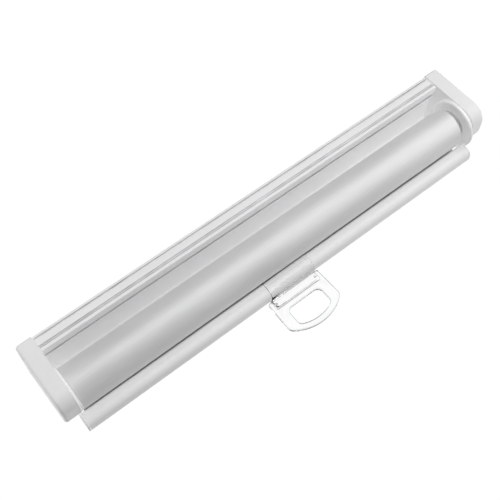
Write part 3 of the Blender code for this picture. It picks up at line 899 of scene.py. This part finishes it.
def make_clip():
    """A clear clip that hooks over the bar and ends in a flat tongue with rounded ends."""
    x_range, (_, rear), (bottom, _) = around_axis("pull_clip")
    near, far = GAP, GAP + CLIP_WALL
    front, back = BAR_Y
    low, top = BAR_Z
    tongue = PIVOT.y - AXIS.y
    tongue_front = 2 * tongue - rear
    hook = low + CLIP_HOOK
    section = rounded(
        [
            (CLIP_LIP_Y, top + far, 0.0005),
            (front - far, top + far, CLIP_CORNER),
            (front - far, low - far, BAR_BELLY + far),
            (tongue_front, low - far, 0.0006),
            (tongue_front, bottom, 0.0010),
            (rear, bottom, 0.0010),
            (rear, hook, 0.0006),
            (back + near, hook, 0.0006),
            (back + near, low - near, BAR_BACK_BELLY + near),
            (front - near, low - near, BAR_BELLY + near),
            (front - near, top + near, BAR_EDGE + near),
            (CLIP_LIP_Y, top + near, 0.0005),
        ],
        8,
    )
    clip = extrusion("clip_shell", [section], *x_range, sharp=CLEAR_SHARP)
    half = (x_range[1] - x_range[0]) / 2
    outside, inner, inside = half + 0.001, half - 0.0007, half - 0.0067
    cut_top, cut_low = low - far - 0.0002, bottom - 0.0001
    for way in (-1, 1):
        outline = rounded(
            [
                (way * outside, cut_top, 0),
                (way * inner, cut_top, 0.0004),
                (way * inner, cut_low, 0.0026),
                (way * inside, cut_low, 0),
                (way * inside, cut_low - 0.001, 0),
                (way * outside, cut_low - 0.001, 0),
            ],
            8,
        )
        tool = extrusion("corner", [outline], tongue_front - 0.001, rear + 0.001, "Y")
        carve(clip, tool)
    for x in x_range:
        way = 1 if x > PIVOT.x else -1
        ends = sorted((x - way * 0.0025, x + way * 0.001))
        carve(clip, rod("bore", *ends, tongue, PIVOT.z - AXIS.z, STUD_BORE, 24))
    soften(clip, 0.00025)
    place(clip, "clip", "clear_plastic", CLEAR, "pull_clip")


def make_ring():
    """A D-shaped loop with rounded edges, on two studs in the ends of the clip's tongue."""
    x_range, (low, high), (bottom, top) = around_axis("pull_ring")
    clip_low, clip_high = around_axis("pull_clip")[0]
    clip_half = (clip_high - clip_low) / 2
    side = (x_range[1] - x_range[0]) / 2
    shoulder, notch, notch_z = side - 0.0008, clip_half + 0.0003, -0.0346
    arc, band = 0.0390, 0.0051
    arc_z = bottom + arc
    hole_half, hole_top = 0.0154, -0.0395

    def meet(radius, x):
        return arc_z - math.sqrt(radius * radius - x * x)

    def sweep(radius, reach, steps):
        xs = [-reach + 2 * reach * k / steps for k in range(steps + 1)]
        return [(x, meet(radius, x), 0) for x in xs]

    corner = meet(arc, side)
    outer = rounded(
        [(side, corner, 0.0060), (shoulder, top, 0.0014), (notch, top, 0.0010)]
        + [(notch, notch_z, 0.0010), (-notch, notch_z, 0.0010)]
        + [(-notch, top, 0.0010), (-shoulder, top, 0.0014), (-side, corner, 0.0060)]
        + sweep(arc, 0.0205, 24),
        8,
    )
    inner = arc - band
    low_corner = meet(inner, hole_half)
    hole = rounded(
        [(hole_half, low_corner, 0.0040), (hole_half, hole_top, 0.0044)]
        + [(-hole_half, hole_top, 0.0044), (-hole_half, low_corner, 0.0040)]
        + sweep(inner, 0.0105, 14),
        8,
    )
    ring = extrusion("ring_loop", [outer, hole], low, high, "Y", CLEAR_SHARP, RING_EDGE)
    paint_clear_edge_shade(ring)
    pieces = [ring]
    for way in (-1, 1):
        ends = sorted((PIVOT.x + way * (clip_half - 0.0018), PIVOT.x + way * (notch + 0.0004)))
        pieces.append(rod("stud", *ends, PIVOT.y - AXIS.y, PIVOT.z - AXIS.z, STUD_RADIUS, 20))
    ring = join("pull_loop", pieces)
    place(ring, "ring", "clear_plastic", CLEAR, "pull_ring")


# Scene

ROOM_LIGHT = 0.22
STUDIO_LIGHT = 1.02
FLOOR_GAP = 0.12
LENS = 61.08
CAMERA_PLACE = Vector((-0.2155, -0.5546, -0.2402))
CAMERA_WAY = Vector((0.3067, 0.8680, 0.3906))
CAMERA_UP = Vector((0.5395, -0.4966, 0.6799))


def area_light(name, location, size, power):
    """A rectangular light turned to the row frame's origin."""
    data = bpy.data.lights.new(name, "AREA")
    data.shape = "RECTANGLE"
    data.size, data.size_y = size
    data.energy = power
    light = bpy.data.objects.new(name, data)
    light.location = location
    light.rotation_euler = (-light.location).to_track_quat("-Z", "Y").to_euler()
    bpy.context.scene.collection.objects.link(light)
    return light


def light_group(name, state, *objects):
    """A collection that tells a light to leave these objects out, or to light only them."""
    group = bpy.data.collections.new(name)
    for obj in objects:
        group.objects.link(bpy.data.objects[obj])
    for link in group.collection_objects:
        link.light_linking.link_state = state
    return group


def fill_light(name, location, size, power, receivers):
    """A broad light that lifts the surfaces turned to it, with no shadow of its own."""
    light = area_light(name, location, size, power)
    light.data.use_shadow = False
    light.light_linking.receiver_collection = receivers
    light.visible_glossy = False
    light.visible_camera = False
    return light


def make_world():
    """A white studio behind the blind, dim on the side of the room and straight below."""
    world = bpy.data.worlds.new("studio")
    bpy.context.scene.world = world
    world.use_nodes = True
    nodes, links = world.node_tree.nodes, world.node_tree.links
    split = nodes.new("ShaderNodeSeparateXYZ")
    links.new(nodes.new("ShaderNodeTexCoord").outputs["Generated"], split.inputs["Vector"])

    def ramp(source, start, end, low, high):
        node = nodes.new("ShaderNodeMapRange")
        node.interpolation_type = "SMOOTHSTEP"
        node.inputs["From Min"].default_value = start
        node.inputs["From Max"].default_value = end
        node.inputs["To Min"].default_value = low
        node.inputs["To Max"].default_value = high
        links.new(source, node.inputs["Value"])
        return node.outputs["Result"]

    behind = ramp(split.outputs["Y"], 0.0, 0.45, 0.0, 1.0)
    above = ramp(split.outputs["Z"], -0.80, -0.50, 0.0, 1.0)
    both = nodes.new("ShaderNodeMath")
    both.operation = "MULTIPLY"
    links.new(behind, both.inputs[0])
    links.new(above, both.inputs[1])
    strength = ramp(both.outputs["Value"], 0.0, 1.0, ROOM_LIGHT, STUDIO_LIGHT)
    links.new(strength, nodes["Background"].inputs["Strength"])
    nodes["Background"].inputs["Color"].default_value = (1.0, 1.0, 1.0, 1.0)


def make_floor():
    """A pale floor below the lowest reach of the bar."""
    bm = bmesh.new()
    bmesh.ops.create_grid(bm, x_segments=1, y_segments=1, size=4.0)
    mesh = bpy.data.meshes.new("floor")
    bm.to_mesh(mesh)
    bm.free()
    floor = bpy.data.objects.new("floor", mesh)
    bpy.context.scene.collection.objects.link(floor)
    floor.location = (0.0, 0.0, CAD_BOX[0][2] - BLIND_DROP - FLOOR_GAP)
    made = Nodes("pale_floor")
    made.tint(made.spread(made.noise(3.0), 0.0, 1.0), (0.80, 0.80, 0.80), (0.83, 0.83, 0.83))
    made.roughness(made.noise(20.0), 0.7, 0.8)
    mesh.materials.append(made.material)
    floor.visible_diffuse = False
    floor.visible_glossy = False


def make_camera():
    """Below and in front of the cassette's left end, with the blind running up to the right."""
    data = bpy.data.cameras.new("camera")
    data.lens = LENS
    data.sensor_width = 36.0
    camera = bpy.data.objects.new("camera", data)
    bpy.context.scene.collection.objects.link(camera)
    forward = CAMERA_WAY.normalized()
    right = forward.cross(CAMERA_UP).normalized()
    turn = Matrix((right, right.cross(forward), -forward)).transposed()
    camera.matrix_world = Matrix.Translation(AXIS + CAMERA_PLACE) @ turn.to_4x4()
    data.clip_start, data.clip_end = 0.01, 20.0
    bpy.context.scene.camera = camera


make_rail()
make_cap("left", -1)
make_cap("right", 1)
make_screws()
make_wound_cloth()
make_cloth_drop()
make_discs()
make_bar()
make_clip()
make_ring()
refinish("roller_tube", MILL)
for steel_node in ("idle_pin", "spring_spindle", "torsion_spring"):
    refinish(steel_node, ZINC)
for plastic_node in ("idle_bush", "spindle_bush", "spindle_socket", "spring_collar", "hem_rod"):
    refinish(plastic_node, GREY_ACETAL)

make_world()
make_floor()
make_camera()
LEFT_OUT = light_group("kept_in_shade", "EXCLUDE", "cloth_drop", "floor")
CLOTH_ONLY = light_group("roll_only", "INCLUDE", "wound_cloth")
area_light("key", (0.35, -1.1, -0.05), (1.3, 0.9), 5.4)
fill_light("low_fill", (1.05, -0.62, -0.80), (1.0, 0.8), 12.0, LEFT_OUT)
fill_light("high_fill", (-0.95, -0.80, 0.50), (1.2, 1.0), 8.0, LEFT_OUT)
cloth_glint = fill_light("cloth_glint", (1.30, -0.80, -0.65), (1.4, 1.0), 5.0, CLOTH_ONLY)
cloth_glint.visible_glossy = True
bpy.context.scene.view_settings.view_transform = "Standard"
